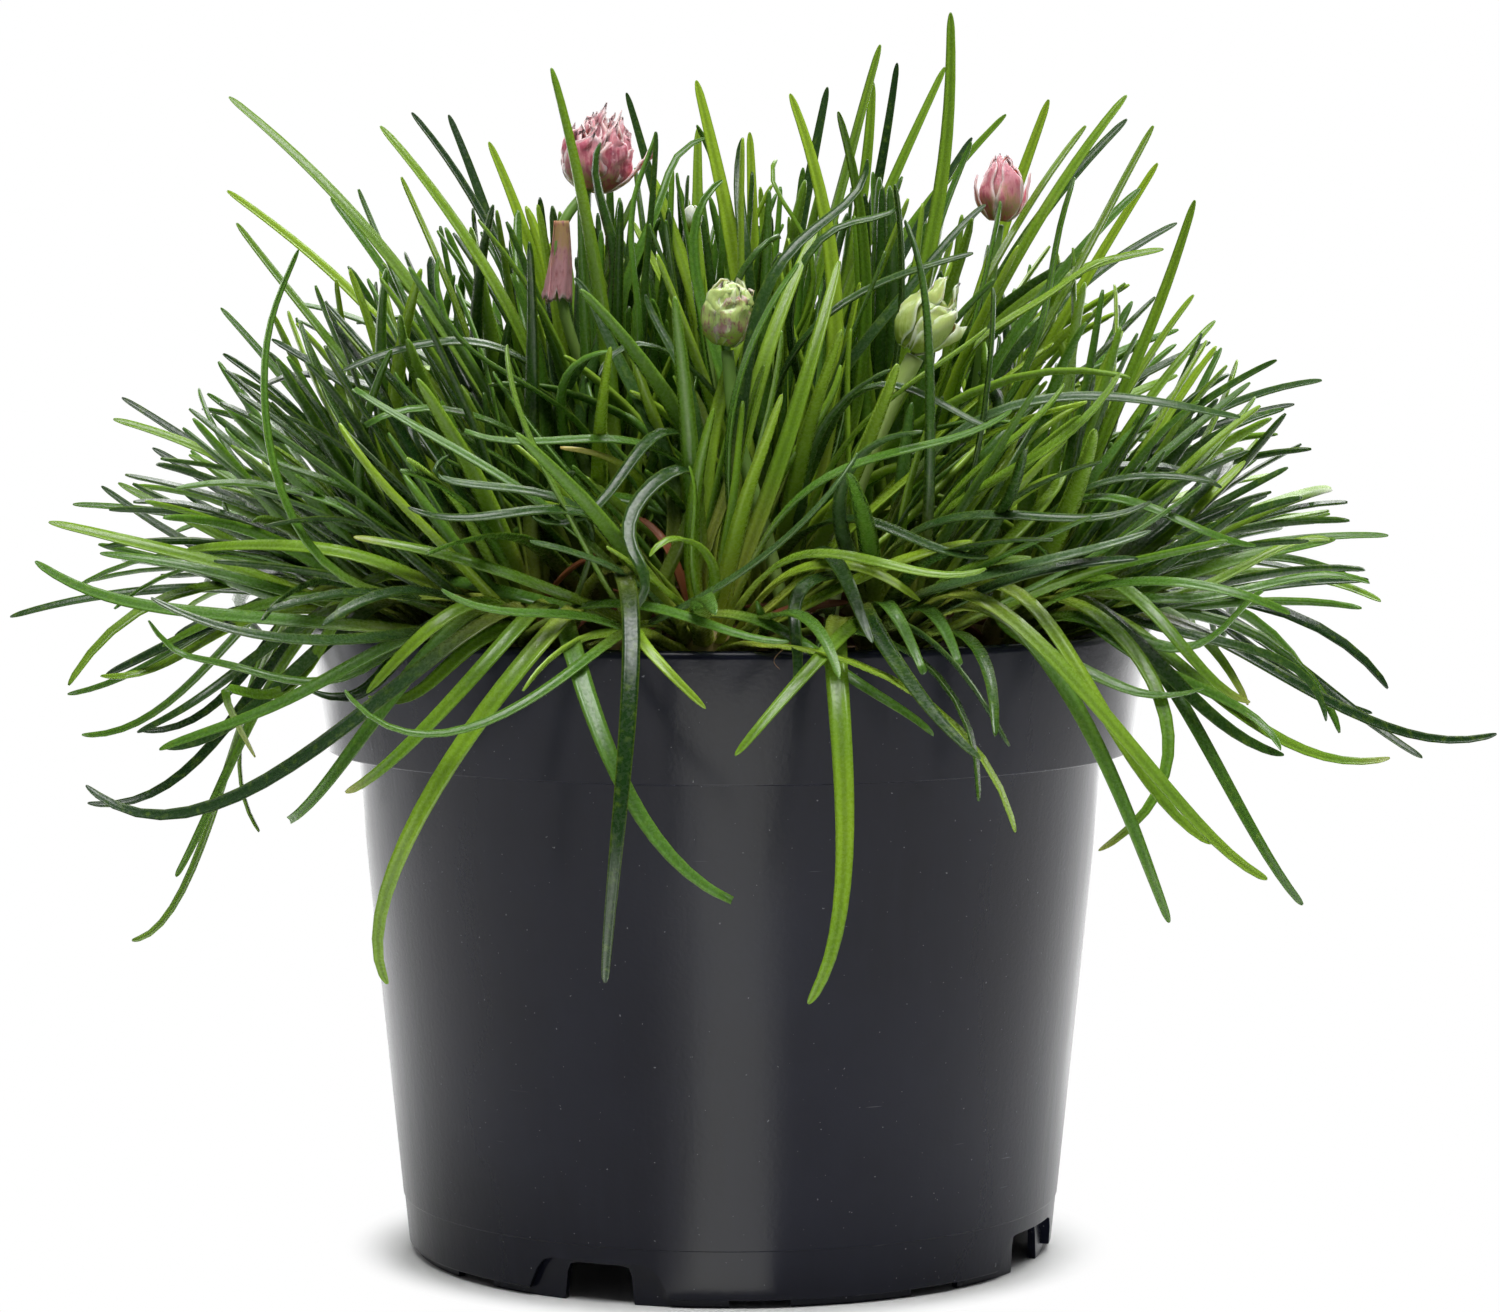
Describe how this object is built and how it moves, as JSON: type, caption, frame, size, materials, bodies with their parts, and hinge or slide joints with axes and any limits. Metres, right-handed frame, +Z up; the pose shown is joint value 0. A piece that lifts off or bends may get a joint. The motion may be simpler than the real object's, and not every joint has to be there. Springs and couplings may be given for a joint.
{
  "type": "potted broadleaf thrift",
  "caption": "Dense cushion of narrow green strap leaves with young pink and green flower buds, growing in a round dark plastic nursery pot.",
  "frame": {"origin": "middle of the pot's foot, on the surface that it stands on", "axes": "+Z up along the pot's axis, -Y towards the front as pictured, +X to the right of that view"},
  "size_m": [0.226, 0.1922, 0.189],
  "materials": {
    "pot_plastic": "dark slate grey moulded plastic with a soft sheen",
    "compost": "dark brown crumbly compost",
    "leaf": "finely pitted waxy green leaf, yellow-green at the base",
    "stalk": "smooth green flower stalk",
    "pale_stalk": "smooth pale green flower stalk",
    "pink_bract": "thin pink papery bracts with pale edges",
    "green_bract": "green bracts with pink and papery white edges",
    "pale_bract": "pale translucent green bracts",
    "white_bract": "whitish tip of a very young bud",
    "papery_sheath": "dry pink-brown papery sheath"
  },
  "bodies": {
    "root": {"pot": "pot_plastic", "compost": "compost", "leaves_outer_1": "leaf", "leaves_outer_2": "leaf", "leaves_outer_3": "leaf", "leaves_outer_4": "leaf", "leaves_outer_5": "leaf", "leaves_outer_6": "leaf", "leaves_outer_7": "leaf", "leaves_outer_8": "leaf", "leaves_outer_9": "leaf", "leaves_outer_10": "leaf", "leaves_outer_11": "leaf", "leaves_inner_1": "leaf", "leaves_inner_2": "leaf", "leaves_inner_3": "leaf", "leaves_inner_4": "leaf", "leaves_inner_5": "leaf", "leaves_inner_6": "leaf", "leaves_middle_1": "leaf", "stalk_open_bud": "stalk", "open_bud": "pink_bract", "sheath": "papery_sheath", "stalk_pointed_bud": "stalk", "pointed_bud": "pink_bract", "stalk_round_bud": "stalk", "round_bud": "green_bract", "stalk_pale_bud": "pale_stalk", "pale_bud": "pale_bract", "stalk_young_bud": "stalk", "young_bud": "white_bract"}
  },
  "joints": []
}
